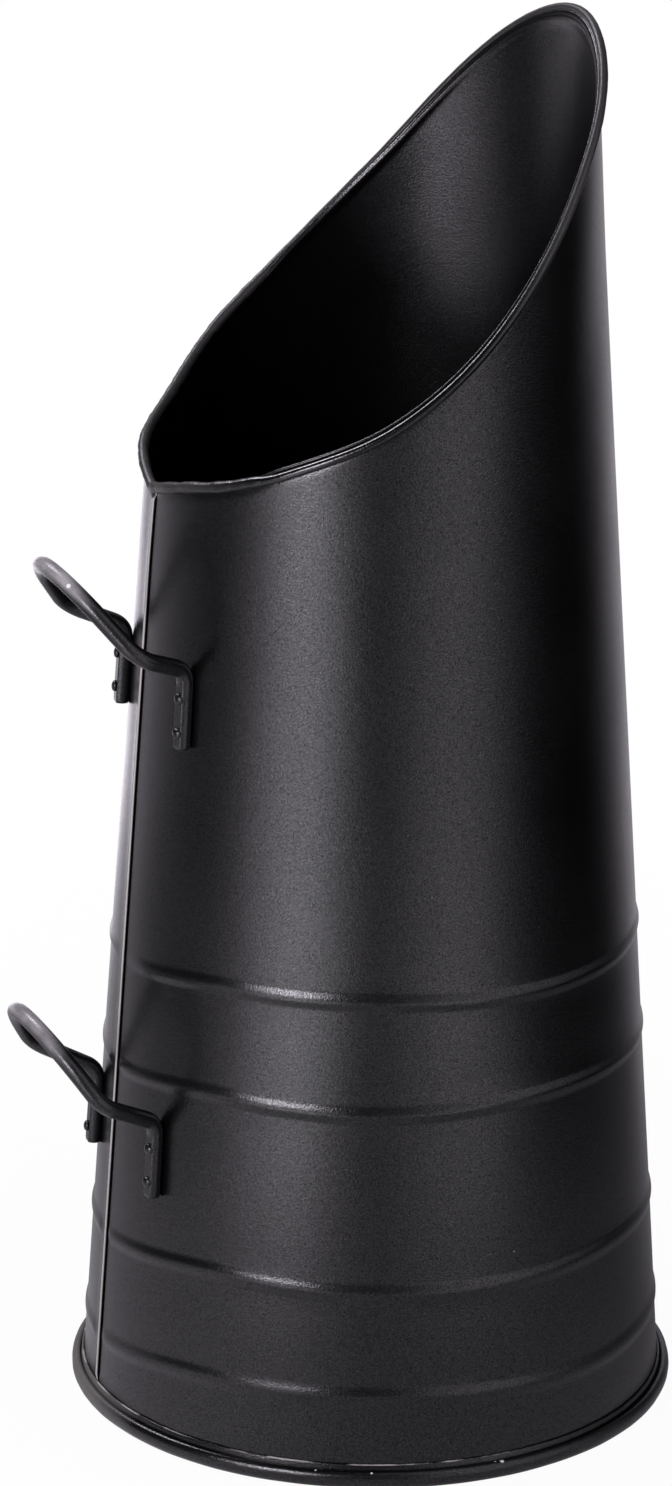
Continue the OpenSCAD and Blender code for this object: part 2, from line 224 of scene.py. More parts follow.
def sweep(centres, tangents, normals, section):
    """Rings of a tube: section(i) gives the (across, up) points of ring i."""
    rings = []
    for i, (c, t, n) in enumerate(zip(centres, tangents, normals)):
        up = np.cross(t, n)
        rings.append([c + u * n + v * up for u, v in section(i)])
    return np.array(rings)


def lathe(name, profile, columns, replaced, shape=None):
    """A closed profile of (radius, height) turned round Z; shape(points) may change the result."""
    a = np.linspace(0, 2 * pi, columns, endpoint=False)
    profile = np.array(profile)
    grid = np.stack([profile[:, None, 0] * np.cos(a), profile[:, None, 0] * np.sin(a),
                     np.broadcast_to(profile[:, None, 1], (len(profile), columns))], axis=-1)
    if shape:
        grid = shape(grid)
    make_piece(name, grid.reshape(-1, 3), grid_faces(len(profile), columns, True, True), replaced)


# ------------------------------------------------------------------ body sheet

EDGE_ROUND = 0.3         # rounding of the sheet's cut edge
SEAM_SAG = 8.0           # the beads run down towards the seam, where the sheet's ends were rolled
SAG_FROM, SAG_TO = radians(42), radians(-5)
BACK_FROM, BACK_TO = radians(110), radians(40)
# The beads also hang a little in front: how far, middle and half of the stretch, from the lowest up
FRONT_SAG = ((2.2, -68, 50), (1.8, -98, 60), (1.3, -115, 45), (2.2, -70, 55))
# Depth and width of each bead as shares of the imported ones, from the lowest up
BEAD_DEPTHS = (0.8, 0.85, 0.9, 0.9)
BEAD_WIDTHS = (1.3, 1.2, 1.1, 1.1)
BEAD_FADES = (8.0, 8.0, 8.0, 26.0)   # how far from the seam each is full
BEAD_START = 1.5         # where a bead starts beside the seam's middle
BEAD_WANDER = 0.35       # how far a bead strays up and down
BEAD_SWELL = 0.12        # how much its depth varies


def bead_sag(a, k):
    """How far bead k has dropped from its level, over the angle."""
    past = wrap(a - SEAM_ANGLE)
    sag = SEAM_SAG * (1 - smooth(SAG_TO, SAG_FROM, past)) * (1 - smooth(BACK_TO, BACK_FROM, -past))
    depth, middle, half = FRONT_SAG[k]
    return sag + depth * (1 - smooth(0.0, radians(half), np.abs(wrap(a - radians(middle)))))


def bead_height(a, z):
    """How far the swaged beads stand out; they fade where the lock seam stiffens the sheet."""
    from_seam = np.abs(wrap(a - SEAM_ANGLE)) * outer_r(z)
    out = 0.0
    for k, crest in enumerate(BEAD_Z):
        fade = smooth(BEAD_START, BEAD_FADES[k], from_seam)
        d = z - crest + bead_sag(a, k) - BEAD_WANDER * waves(a, 0.0, 2.0 + k)
        swell = 1 + BEAD_SWELL * waves(2 * a, 0.0, 5.0 + k)
        width = BEAD_W * BEAD_WIDTHS[k]
        bump = np.where(np.abs(d) < width / 2, (1 + np.cos(2 * pi * d / width)) / 2, 0.0)
        out = out + BEAD_H * BEAD_DEPTHS[k] * swell * bump * fade
    return out


SEAM_STEP = 1.05         # height of the sharp step at the seam's right side
STEP_AT = SEAM_W / 2
GROOVE_DEPTH = 0.6       # the groove beside the step
GROOVE_W = 1.0
# Corners of the folded seam across its width: distance from its middle and height off the sheet.
# It rises slowly on the left and ends in the step and the groove on the right.
SEAM_PROFILE = ((STEP_AT - 9.0, 0.0), (STEP_AT - 6.0, 0.10), (STEP_AT - 3.4, 0.38),
                (STEP_AT - 2.4, 0.60), (STEP_AT - 1.9, 0.95), (STEP_AT - 1.4, SEAM_STEP),
                (STEP_AT - 0.9, SEAM_STEP), (STEP_AT - 0.5, SEAM_STEP - 0.10),
                (STEP_AT - 0.25, SEAM_STEP - 0.28), (STEP_AT - 0.08, SEAM_STEP - 0.55),
                (STEP_AT, SEAM_STEP - 0.85),
                (STEP_AT + 0.04, -GROOVE_DEPTH), (STEP_AT + GROOVE_W, -GROOVE_DEPTH),
                (STEP_AT + GROOVE_W + 0.2, -0.05), (STEP_AT + GROOVE_W + 0.7, 0.02),
                (STEP_AT + GROOVE_W + 1.6, 0.0))


SEAM_BOTTOM_Z = (FOOT_H + SEAT_GAP, FOOT_H + 0.8)   # between these heights it comes up to full height
SEAM_END = (4.4, 6.0)                               # and between these distances from the mouth it ends


def seam_height(s, z, edge):
    """Height of the folded seam at a distance from its middle, between the foot ring and the rod."""
    distances, heights = zip(*SEAM_PROFILE)
    ends = smooth(*SEAM_BOTTOM_Z, z) * smooth(*SEAM_END, edge - z)
    return np.interp(s, distances, heights, left=0.0, right=0.0) * ends


NECK_DEPTH = 0.50        # the sheet is drawn in a little just below the rod
NECK_FROM, NECK_TO = 6.6, 3.2


def neck(below_edge):
    """How far the sheet is drawn in at a distance below its edge."""
    t = np.clip((NECK_FROM - below_edge) / (NECK_FROM - NECK_TO), 0.0, 1.0)
    return NECK_DEPTH * t ** 1.4 * smooth(0.0, 2.0, below_edge)


REF_R = 110.0            # radius at which the columns' distances from the seam are measured
FAR_FROM = 12.0          # from here on they are evenly spaced
FAR_COLUMNS = 372
FOLD_COLUMNS = {-5.0, -1.8, -0.4, 1.7, STEP_AT + GROOVE_W / 2}   # between the fold's own corners
RIGHT_COLUMNS = (5.2, 6.4, 8.0, 10.0)
LEFT_COLUMNS = (10.5, 8.6, 7.4)


def body_columns():
    """Distances from the seam's middle round the wall, below 0 on its left: close at the fold only."""
    turn = 2 * pi * REF_R
    fold = sorted({p[0] for p in SEAM_PROFILE} | FOLD_COLUMNS)
    far = np.linspace(FAR_FROM, turn - FAR_FROM, FAR_COLUMNS)
    s = np.array([*fold, *RIGHT_COLUMNS, *far, *(turn - x for x in LEFT_COLUMNS)])
    return np.where(s > turn / 2, s - turn, s)


def between_levels(z, levels, values):
    """The values at a height, between the rows of values known at some levels."""
    k = min(int(np.searchsorted(levels, z, side="right")), len(levels) - 1)
    t = (z - levels[k - 1]) / (levels[k] - levels[k - 1])
    return values[k - 1] * (1 - t) + values[k] * t


PLAIN_ROWS = (SHEET_BOTTOM_Z + 0.3, 5.0, 9.0, 9.3, 9.6, 10.0, 15.0, 24.0, 48.0, 60.0, 70.0, 94.0,
              105.0, 116.0, 128.0, 140.0, 170.0, 180.0, 190.0, 210.0, 220.0, 230.0, 240.0)
BEAD_STEPS = 8           # rows on each half of a bead
# Rows above the last plain row, as shares of the way to the mouth, closer and closer to its edge
HIGH_ROWS = (*np.linspace(0, 0.86, 34)[1:], *(1 - np.geomspace(0.12, 0.002, 22)))
# The sheet's cut edge: share of the way from its outer to its inner face, and height
EDGE_CROWN = ((0.0, 0.0), (0.30, 0.22), (0.5, EDGE_ROUND), (0.70, 0.22), (1.0, 0.0))
SEAM_KEEP = (9.0, 34.0)  # near the seam the columns keep their distances, and beyond it their angles


def build_body():
    s_ref = body_columns()
    bead_rows = [crest + width * BEAD_W / 2 * k / BEAD_STEPS
                 for crest, width in zip(BEAD_Z, BEAD_WIDTHS)
                 for k in range(-BEAD_STEPS, BEAD_STEPS + 1)]
    low_rows = sorted([*bead_rows, *PLAIN_ROWS])
    high_start = low_rows[-1]

    def wall(offset):
        """Angles and heights of the rows up one face of the sheet, and the height of its edge."""
        base_angle = SEAM_ANGLE + s_ref / REF_R
        edge = edge_height(base_angle, EDGE_ROUND, offset) - HEM_COVER * hem(base_angle)
        levels = (0.0, *BEAD_Z, high_start)
        sags = [0 * base_angle, *(bead_sag(base_angle, k) for k in range(len(BEAD_Z))), 0 * base_angle]
        z_rows = [z - between_levels(z, levels, sags) for z in low_rows]
        z_rows += [high_start + (edge - high_start) * t for t in HIGH_ROWS]
        z = np.array(z_rows)
        keep = 1 - smooth(*SEAM_KEEP, np.abs(s_ref))
        a = SEAM_ANGLE + s_ref / (REF_R + keep * (outer_r(z) - REF_R))
        return a, z, edge

    a_out, z_out, edge_out = wall(0.0)
    s_out = wrap(a_out - SEAM_ANGLE) * outer_r(z_out)
    r_out = (outer_r(z_out) + bead_height(a_out, z_out) + seam_height(s_out, z_out, edge_out)
             - neck(edge_out - z_out))
    a_in, z_in, edge_in = wall(-WALL_R)
    r_in = outer_r(z_in) - WALL_R + bead_height(a_in, z_in) - neck(edge_in - z_in)
    a_crown = [a_out[-1] for _ in EDGE_CROWN]
    r_crown = [outer_r(edge_out) - WALL_R * t for t, _ in EDGE_CROWN]
    z_crown = [edge_out + h + (edge_in - edge_out) * t for t, h in EDGE_CROWN]
    a = np.array([*a_out, *a_crown, *a_in[::-1]])
    r = np.array([*r_out, *r_crown, *r_in[::-1]])
    z = np.array([*z_out, *z_crown, *z_in[::-1]])
    points = warp(np.stack([r * np.cos(a), r * np.sin(a), z], axis=-1))
    make_piece("body_sheet", points.reshape(-1, 3), grid_faces(*a.shape, True, True),
               ("body_shell",))


# ------------------------------------------------------------------ rod round the mouth

RIM_RINGS = 540
RIM_SIDES = 16
ROD_GAP = 0.02           # between the sheet and the rod
HEM_INSET = 1.5          # how far in the roll's middle lies, since it wraps round the sheet's edge
ROD_LUMPS, HEM_LUMPS = 0.03, 0.05


def rim_path(angle):
    """Middle and radius of the rod, or of the roll, at an angle."""
    rolled = hem(angle)
    radius = ROD_R_SEEN + (HEM_R - ROD_R_SEEN) * rolled
    offset = radius + ROD_GAP - HEM_INSET * rolled
    below = (LIP_SEEN * (1 - rolled) + radius) / np.cos(MOUTH_LOW_SLOPE * np.sin(angle) ** 2)
    z = edge_height(angle, 0.0, offset) - below
    r = outer_r(z) + offset
    return np.stack([r * np.cos(angle), r * np.sin(angle), z], axis=-1), radius


def build_rim():
    a = SEAM_ANGLE + np.linspace(0, 2 * pi, RIM_RINGS, endpoint=False)
    path, radius = rim_path(a)
    centres = warp(path)
    tangents = np.roll(centres, -1, axis=0) - np.roll(centres, 1, axis=0)
    tangents /= np.linalg.norm(tangents, axis=1, keepdims=True)
    out = np.stack([np.cos(a), np.sin(a), np.zeros_like(a)], axis=-1)
    normals = out - (out * tangents).sum(1, keepdims=True) * tangents
    normals /= np.linalg.norm(normals, axis=1, keepdims=True)
    lumps = ROD_LUMPS + HEM_LUMPS * hem(a)
    swell = radius * (1 + lumps * waves(7 * a, 0.0, 0.7) + lumps * waves(19 * a, 0.0, 4.1))

    def section(i):
        r = swell[i]
        return [(r * cos(t), r * sin(t)) for t in np.linspace(0, 2 * pi, RIM_SIDES, endpoint=False)]

    rings = sweep(centres, tangents, normals, section)
    make_piece("mouth_rod", rings.reshape(-1, 3),
               grid_faces(RIM_RINGS, RIM_SIDES, True, True), ("rim_rod",))


# ------------------------------------------------------------------ foot ring

ROLL_TALLER = 1.2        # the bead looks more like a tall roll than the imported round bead
FOOT_COLUMNS = 420
ROLL_STEPS = 28
ROLL_WAVE = 0.15         # unevenness of the roll, and of the collar's upper edge
TOP_WAVES = (0.12, 0.10)
TOP_DEPTH = 1.2          # how far down the upper edge's unevenness reaches


def build_foot():
    bead_z = FOOT_BEAD_R - FOOT_FLAT
    bead_x = outer_r(bead_z) + WALL_GAP + FOOT_BEAD_R
    roll_z = bead_z + ROLL_TALLER
    hollow_r = FOOT_BEAD_R - FOOT_T
    slit_x = FOOT_SLIT - hollow_r
    outer_end, hollow_end = acos(slit_x / FOOT_BEAD_R), acos(slit_x / hollow_r)

    def on_bead(r, t):
        return (bead_x + r * cos(t), max(0.0, roll_z + (r + ROLL_TALLER) * sin(t)))

    inner = outer_r(FOOT_H) + WALL_GAP
    collar = [(inner + FOOT_T, FOOT_H - 0.2), (inner + FOOT_T - 0.1, FOOT_H - 0.04),
              (inner + FOOT_T / 2, FOOT_H), (inner + 0.1, FOOT_H - 0.04), (inner, FOOT_H - 0.2)]
    shares = np.linspace(0, 1, ROLL_STEPS + 1)
    outside = [on_bead(FOOT_BEAD_R, -pi + (pi + outer_end) * t) for t in shares]
    hollow = [on_bead(hollow_r, hollow_end - (pi + hollow_end) * t) for t in shares]

    def uneven(grid):
        """The collar as it was bent: its upper edge ripples and its roll is not quite round."""
        a = np.arctan2(grid[..., 1], grid[..., 0])
        r = np.hypot(grid[..., 0], grid[..., 1])
        z = grid[..., 2]
        ripple = TOP_WAVES[0] * waves(11 * a, 0.0, 1.1) + TOP_WAVES[1] * waves(31 * a, 0.0, 2.2)
        grid[..., 2] = z + smooth(FOOT_H - TOP_DEPTH, FOOT_H, z) * ripple
        push = ROLL_WAVE * waves(4 * a, 0.0, 3.0) * smooth(inner + FOOT_T, bead_x, r)
        grid[..., 0] *= (r + push) / r
        grid[..., 1] *= (r + push) / r
        return grid

    lathe("foot_collar", collar + outside + hollow, FOOT_COLUMNS, ("foot_ring",), uneven)


# ------------------------------------------------------------------ handles

# Each handle was bent by hand: rise, turn and tilt are the slopes of its shoulders, arms and bow
HANDLES = {
    "upper": {"leg_z": 293.0, "shoulder": 12.2, "rise": 21.0, "bend": 15.9, "arm": 13.3,
              "turn": 28.8, "tilt": 52.6},
    "lower": {"leg_z": 105.0, "shoulder": 18.8, "rise": 26.2, "bend": 13.9, "arm": 2.2,
              "turn": 22.2, "tilt": 57.5},
}
LEG_STEPS, BEND_STEPS, BOW_STEPS = 25, 12, 30


def unit(v):
    """A vector of the same direction and of length 1."""
    return v / np.linalg.norm(v)


def leg_turn(side, leg_z):
    """Azimuth of the leg on a side of the handle."""
    return pi - side * asin(LEG_SPREAD / 2 / (outer_r(leg_z) + LEG_IN))


def wall_frame(side, leg_z):
    """Directions out of the wall, along the wall to the side and up the wall, where a leg lies."""
    turn = leg_turn(side, leg_z)
    level = np.array([cos(turn), sin(turn), 0.0])
    out = np.array([cos(TAPER) * level[0], cos(TAPER) * level[1], sin(TAPER)])
    across = np.array([-level[1], level[0], 0.0])
    return level, out, across, np.cross(out, across)


def fillet(points, radii, steps):
    """A path through points whose inner corners are rounded; the last point is left out."""
    path = [points[0]]
    for before, corner, after, radius in zip(points, points[1:], points[2:], radii):
        d1, d2 = unit(corner - before), unit(after - corner)
        angle = acos(np.clip(d1 @ d2, -1, 1))
        inward = unit(d2 - d1 * (d1 @ d2))
        centre = corner - d1 * radius * tan(angle / 2) + inward * radius
        path += [centre + radius * (sin(t) * d1 - cos(t) * inward)
                 for t in np.linspace(0, angle, steps)]
    return path


def half_path(side, shape):
    """Points along one half of a handle, from the leg's end to the bow's apex."""
    leg_z = shape["leg_z"]
    level, out, _, up = wall_frame(side, leg_z)
    rise, turn, tilt = (radians(shape[k]) for k in ("rise", "turn", "tilt"))
    bow_out = np.array([-cos(tilt), 0.0, sin(tilt)])
    sideways = np.array([0.0, side, 0.0])
    shoulder_dir = cos(rise) * level + sin(rise) * np.array([0.0, 0.0, 1.0])
    arm_dir = cos(turn) * bow_out - sin(turn) * sideways
    start = outer_r(leg_z) * level + np.array([0.0, 0.0, leg_z]) + (LEG_IN + SEAT_GAP) * out
    leg_reach = LEG_BEND_R * tan(acos(up @ shoulder_dir) / 2)
    arm_reach = shape["bend"] * tan(acos(shoulder_dir @ arm_dir) / 2)
    knee = start + (LEG_L + leg_reach) * up
    elbow = knee + (leg_reach + shape["shoulder"] + arm_reach) * shoulder_dir
    arm_end = elbow + (arm_reach + shape["arm"]) * arm_dir
    leg = [start + LEG_L * t * up for t in np.linspace(0, 1, LEG_STEPS + 1)[:-1]]
    bends = fillet([start, knee, elbow, arm_end], [LEG_BEND_R, shape["bend"]], BEND_STEPS)[1:]
    bow_r = abs(arm_end[1]) / cos(turn)
    centre = arm_end - bow_r * (cos(turn) * sideways + sin(turn) * bow_out)
    bow = [centre + bow_r * (cos(t) * sideways + sin(t) * bow_out)
           for t in np.linspace(turn, pi / 2, BOW_STEPS)]
    return leg + bends + bow


# Where the section's points lie round the rod: close together at the edges of the legs' flats
OUT_EDGE, IN_EDGE = acos(LEG_OUT / ROD_R), pi - acos(LEG_IN / ROD_R)
EDGE_STEP = 0.09
SIDE_TURNS = [*(OUT_EDGE * t for t in (0.0, 0.5, 0.88, 1.0)), OUT_EDGE + EDGE_STEP,
              *np.linspace(OUT_EDGE, IN_EDGE, 9)[1:-1],
              IN_EDGE - EDGE_STEP, IN_EDGE, IN_EDGE + EDGE_STEP, (IN_EDGE + pi) / 2]
ROD_TURNS = SIDE_TURNS + [pi] + [2 * pi - t for t in reversed(SIDE_TURNS[1:])]
FLAT_TURN = radians(9)   # the pressed flats look a little towards the back
FLAT_FADE = (-1.5, 4.0)  # the rod is round again between these distances past the leg
END_ROUND = 0.07         # how much narrower the leg's cut end is
END_REACH = 0.6


def build_handle(name, shape, replaced):
    """One bent rod from leg to leg."""
    left, right = half_path(LEFT, shape), half_path(RIGHT, shape)
    path = np.array(left + right[-2::-1])
    steps = np.linalg.norm(np.diff(path, axis=0), axis=1)
    path = path[np.concatenate([[True], steps > 0.05])]
    tangents = np.gradient(path, axis=0)
    tangents /= np.linalg.norm(tangents, axis=1, keepdims=True)
    run = np.concatenate([[0], np.cumsum(np.linalg.norm(np.diff(path, axis=0), axis=1))])
    along = np.minimum(run, run[-1] - run)      # distance from the nearer leg's end
    tilt = radians(shape["tilt"])
    normals = np.cross(np.array([sin(tilt), 0, cos(tilt)]), tangents)
    normals /= np.linalg.norm(normals, axis=1, keepdims=True)

    def section(i):
        """A round rod whose legs are pressed flat against the wall and under the rivets."""
        side = LEFT if i < len(path) / 2 else RIGHT
        _, out, across, _ = wall_frame(side, shape["leg_z"])
        out = cos(FLAT_TURN) * out + side * sin(FLAT_TURN) * across
        n = normals[i]
        up = np.cross(tangents[i], n)
        out_flat = unit(np.array([out @ n, out @ up]))
        across_flat = np.array([-out_flat[1], out_flat[0]])
        pressed = 1 - smooth(*FLAT_FADE, along[i] - LEG_L)
        end = 1 - END_ROUND * (1 - smooth(0.0, END_REACH, along[i]))
        points = []
        for k in ROD_TURNS:
            o, c = ROD_R * cos(k), ROD_R * sin(k)
            flat_o = min(max(o, -LEG_IN), LEG_OUT)
            points.append(((o + pressed * (flat_o - o)) * out_flat + c * across_flat) * end)
        return points

    rings = sweep(path, tangents, normals, section)
    count, sides = len(path), len(ROD_TURNS)
    faces = grid_faces(count, sides, False, True)
    faces += [tuple(range(sides - 1, -1, -1)), tuple((count - 1) * sides + i for i in range(sides))]
    make_piece(name, rings.reshape(-1, 3), faces, replaced)


# ------------------------------------------------------------------ rivets

RIVET_COLUMNS = 20
DOME_STEPS = 6
DOME_POWER = 0.8         # below 1, so the domes are fuller than a circle's arc
TIP_R = 0.02             # the domes end in a tiny flat
RIVET_GAP = 0.02         # between the rivet and what it holds
RIM_THICK = 0.15         # straight rim of the head and of the tail
LUMPS = (0.05, 0.04)     # unevenness of the hammered metal


def build_rivet(name, leg_z, side, along):
    """A domed head on the leg, a shank and a peened tail inside the body, as one turned piece."""
    head = LEG_IN + LEG_OUT + SEAT_GAP + RIVET_GAP
    tail = -SHEET_T - RIVET_GAP
    dome = np.linspace(0, pi / 2, DOME_STEPS + 1)[1:-1]
    outline = [(TIP_R, head + RIVET_HEAD_H)]
    outline += [(RIVET_HEAD_R * sin(t), head + RIVET_HEAD_H * cos(t) ** DOME_POWER) for t in dome]
    outline += [(RIVET_HEAD_R, head + RIM_THICK), (RIVET_HEAD_R - 0.08, head), (RIVET_R, head),
                (RIVET_R, tail), (RIVET_TAIL_R - 0.1, tail), (RIVET_TAIL_R, tail - RIM_THICK)]
    tail_rim = tail - RIM_THICK
    outline += [(RIVET_TAIL_R * cos(t), tail_rim - (RIVET_TAIL_H - RIM_THICK) * sin(t) ** DOME_POWER)
                for t in dome]
    outline += [(TIP_R, tail - RIVET_TAIL_H)]
    level, out, across, up = wall_frame(side, leg_z)
    origin = outer_r(leg_z) * level + np.array([0.0, 0.0, leg_z]) + along * up
    points = []
    for r, h in outline:
        for t in np.linspace(0, 2 * pi, RIVET_COLUMNS, endpoint=False):
            lump = 1 + LUMPS[0] * sin(3 * t + along) + LUMPS[1] * sin(2 * t + leg_z + 2 * side)
            points.append(origin + h * out + r * lump * (cos(t) * across + sin(t) * up))
    faces = grid_faces(len(outline), RIVET_COLUMNS, False, True)
    faces += [tuple(range(RIVET_COLUMNS - 1, -1, -1)),
              tuple((len(outline) - 1) * RIVET_COLUMNS + i for i in range(RIVET_COLUMNS))]
    make_piece(name, points, faces, ("rivet_" + name.split("_", 1)[1],))


build_body()
build_rim()
build_foot()
for level_name, shape in HANDLES.items():
    build_handle(f"{level_name}_bow", shape, (f"{level_name}_handle",))
    for side_name, side in (("left", LEFT), ("right", RIGHT)):
        for place, along in RIVET_ALONG.items():
            build_rivet(f"stud_{level_name}_{side_name}_{place}", shape["leg_z"], side, along)

# ------------------------------------------------------------------ shader nodes

WHITE = (1, 1, 1, 1)


class Nodes:
    """One shader tree. Its methods add nodes and give back the output that the next node needs."""

    def __init__(self, owner):
        owner.use_nodes = True
        self.tree = owner.node_tree
        self.tree.nodes.clear()

    def add(self, kind, inputs=None, **settings):
        """A new node; each input gets a fixed value, or a link from another node's output."""
        node = self.tree.nodes.new("ShaderNode" + kind)
        for name, value in settings.items():
            setattr(node, name, value)
        for key, value in (inputs or {}).items():
            if isinstance(value, bpy.types.NodeSocket):
                self.tree.links.new(value, node.inputs[key])
            else:
                node.inputs[key].default_value = value
        return node

    def band(self, value, start, end, low=0.0, high=1.0, **settings):
        """low where the value is at start, high where it is at end, and even between them."""
        inputs = {"Value": value, "From Min": start, "From Max": end, "To Min": low, "To Max": high}
        return self.add("MapRange", inputs, **settings).outputs["Result"]

    def math(self, operation, a, b):
        return self.add("Math", {0: a, 1: b}, operation=operation).outputs[0]

    def product(self, first, *others):
        for value in others:
            first = self.math("MULTIPLY", first, value)
        return first

    def vector(self, operation, a, b=None, output="Vector"):
        inputs = {0: a} if b is None else {0: a, 1: b}
        return self.add("VectorMath", inputs, operation=operation).outputs[output]

    def axes(self, vector):
        return self.add("SeparateXYZ", {"Vector": vector}).outputs

    def blend(self, share, a, b, data_type="RGBA"):
        inputs = {"Factor": share, "A": a, "B": b}
        return self.add("Mix", inputs, data_type=data_type).outputs["Result"]


# ------------------------------------------------------------------ paint

MOTTLE_SCALE, MOTTLE_DETAIL = 28.0, 4.0       # patches in which the paint is a little rougher
MOTTLE_LOW, MOTTLE_HIGH = 0.9, 1.12
GRAIN_SCALE, GRAIN_DETAIL = 1500.0, 2.0       # fine grain, with darker and lighter grains
GRAIN_LOW, GRAIN_HIGH = 0.8, 1.25
GRAIN_HEIGHT = 0.0002
SHINE_SCALE, SHINE_DETAIL = 2300.0, 1.0       # how evenly it shines, more unevenly the rougher its grain
SHINE_SPREAD = 0.8
SHINE = 0.5
SPECK_SCALE = 55.0                            # specks of dust: cells across a metre, and their size
SPECK_R = 0.014
SPECK_EDGE = 0.004
SPECK_RARE = (0.60, 0.62)                     # which of the cells have one
SPECK_MOST = 0.7
BARE_AND_HIGHLIGHT_COLOUR = (0.80, 0.77, 0.72, 1)                  # chips, scuffs and specks, and the painted highlights along the collar's upper edge and the seam's step
TOP_LIGHT_FROM, TOP_LIGHT_TO = 36.0, 45.0               # how far off the wall the dust and painted light from above start on the bows, and are full
FACING_UP_FROM, FACING_UP_TO = -0.35, 0.55            # how far a face looks up where the dust and painted light from above start and are full
DUST_LIGHT_SCALE, DUST_LIGHT_DETAIL, DUST_LIGHT_THIN = 90.0, 5.0, 0.35
WORN_HIGHLIGHT_DEPTH, WORN_HIGHLIGHT_EDGE = 0.35, 0.05            # the scuffed stretch below an upper edge, which also carries a painted highlight
WORN_HIGHLIGHT_SIDE = 20.0                              # it fades out between this far behind and before the axis
WORN_HIGHLIGHT_SCALE, WORN_HIGHLIGHT_DETAIL, WORN_HIGHLIGHT_MOST = 75.0, 5.0, 0.5
WORN_HIGHLIGHT_RARE = (0.46, 0.58)
STRIPE_EDGE = 0.1                             # softness of the stripes along the seam
STRIPE_SIDE = 10.0                            # which lie on this side of the axis only
WEDGE_FROM, WEDGE_TO = 42.0, 6.0              # how far below the mouth they get wider, and are widest
# Stripes along the seam: start and end from its step, and how much wider they get at the mouth
# painted shade in the groove beside the step, widening into a dark wedge below the mouth
FOLD_PAINTED_SHADE = (-0.1, 0.4, 0.9)
# worn paint and a painted highlight along the step's rounded corner
FOLD_WORN_HIGHLIGHT = (-0.9, -0.15, 0.0)
FOLD_WORN_HIGHLIGHT_MOST = 0.5


class PaintNodes(Nodes):
    """A material's tree, with the marks that a painted piece can have; each is a share from 0 to 1."""

    def __init__(self, material):
        super().__init__(material)
        self.place = self.add("TexCoord").outputs["Object"]
        self.at = self.axes(self.place)

    def noise(self, scale, detail):
        inputs = {"Vector": self.place, "Scale": scale, "Detail": detail}
        return self.add("TexNoise", inputs).outputs["Fac"]

    def spread(self, noise, low, high):
        """Stretches the middle part of a noise so that it runs from low to high."""
        return self.band(noise, 0.3, 0.7, low, high)

    def stretch(self, middle, full, end):
        """A stretch round the axis: full up to an angle on both sides of its middle, then fading."""
        level = self.vector("MULTIPLY", self.place, (1, 1, 0))
        out = self.vector("NORMALIZE", level)
        facing = self.vector("DOT_PRODUCT", out, (cos(middle), sin(middle), 0), "Value")
        return self.band(facing, cos(end), cos(full))

    def seam_stripe(self, start, end, wider):
        """A stripe down the seam, between two distances from its step; it widens below the mouth."""
        across = (-sin(SEAM_ANGLE), cos(SEAM_ANGLE), 0)
        along = self.vector("DOT_PRODUCT", self.place, across, "Value")
        wedge = self.band(self.at["Z"], (MOUTH_LOW_Z - WEDGE_FROM) * MM, (MOUTH_LOW_Z - WEDGE_TO) * MM,
                          high=wider * MM)
        inner = self.math("SUBTRACT", along, wedge)
        start, end = STEP_AT + start, STEP_AT + end
        return self.product(
            self.band(along, (start - STRIPE_EDGE) * MM, (start + STRIPE_EDGE) * MM),
            self.band(inner, (end + STRIPE_EDGE) * MM, (end - STRIPE_EDGE) * MM),
            self.band(self.at["X"], 0.0, -STRIPE_SIDE * MM))

    def dust_and_top_light_share(self):
        """Dust and painted light from above on the upper side of a bow's outer part."""
        normal = self.add("NewGeometry").outputs["Normal"]
        away = self.vector("DOT_PRODUCT", self.place, (-1, 0, LEAN), "Value")
        return self.product(
            self.band(self.axes(normal)["Z"], FACING_UP_FROM, FACING_UP_TO, interpolation_type="SMOOTHSTEP"),
            self.band(away, (BASE_R + TOP_LIGHT_FROM) * MM, (BASE_R + TOP_LIGHT_TO) * MM,
                      interpolation_type="SMOOTHSTEP"),
            self.spread(self.noise(DUST_LIGHT_SCALE, DUST_LIGHT_DETAIL), DUST_LIGHT_THIN, 1.0))

    def chip(self, centre, radius):
        distance = self.vector("DISTANCE", self.place, [c * MM for c in centre], "Value")
        return self.band(distance, 1.1 * radius * MM, 0.7 * radius * MM)

    def worn_and_highlit_edge(self, top):
        """Scuffs and a painted highlight along an upper edge, on the handles' side."""
        return self.product(
            self.band(self.at["Z"], (top - WORN_HIGHLIGHT_DEPTH) * MM, (top - WORN_HIGHLIGHT_EDGE) * MM),
            self.band(self.at["X"], WORN_HIGHLIGHT_SIDE * MM, -WORN_HIGHLIGHT_SIDE * MM),
            self.band(self.noise(WORN_HIGHLIGHT_SCALE, WORN_HIGHLIGHT_DETAIL), *WORN_HIGHLIGHT_RARE, high=WORN_HIGHLIGHT_MOST))

    def specks(self):
        """Dust specks in a few cells of a pattern, each of its own brightness."""
        cells = self.add("TexVoronoi", {"Vector": self.place, "Scale": SPECK_SCALE})
        chosen = self.add("SeparateColor", {"Color": cells.outputs["Color"]}).outputs
        return self.product(
            self.band(cells.outputs["Distance"], SPECK_R + SPECK_EDGE, SPECK_R - SPECK_EDGE),
            self.band(chosen["Red"], *SPECK_RARE, high=SPECK_MOST), chosen["Green"])


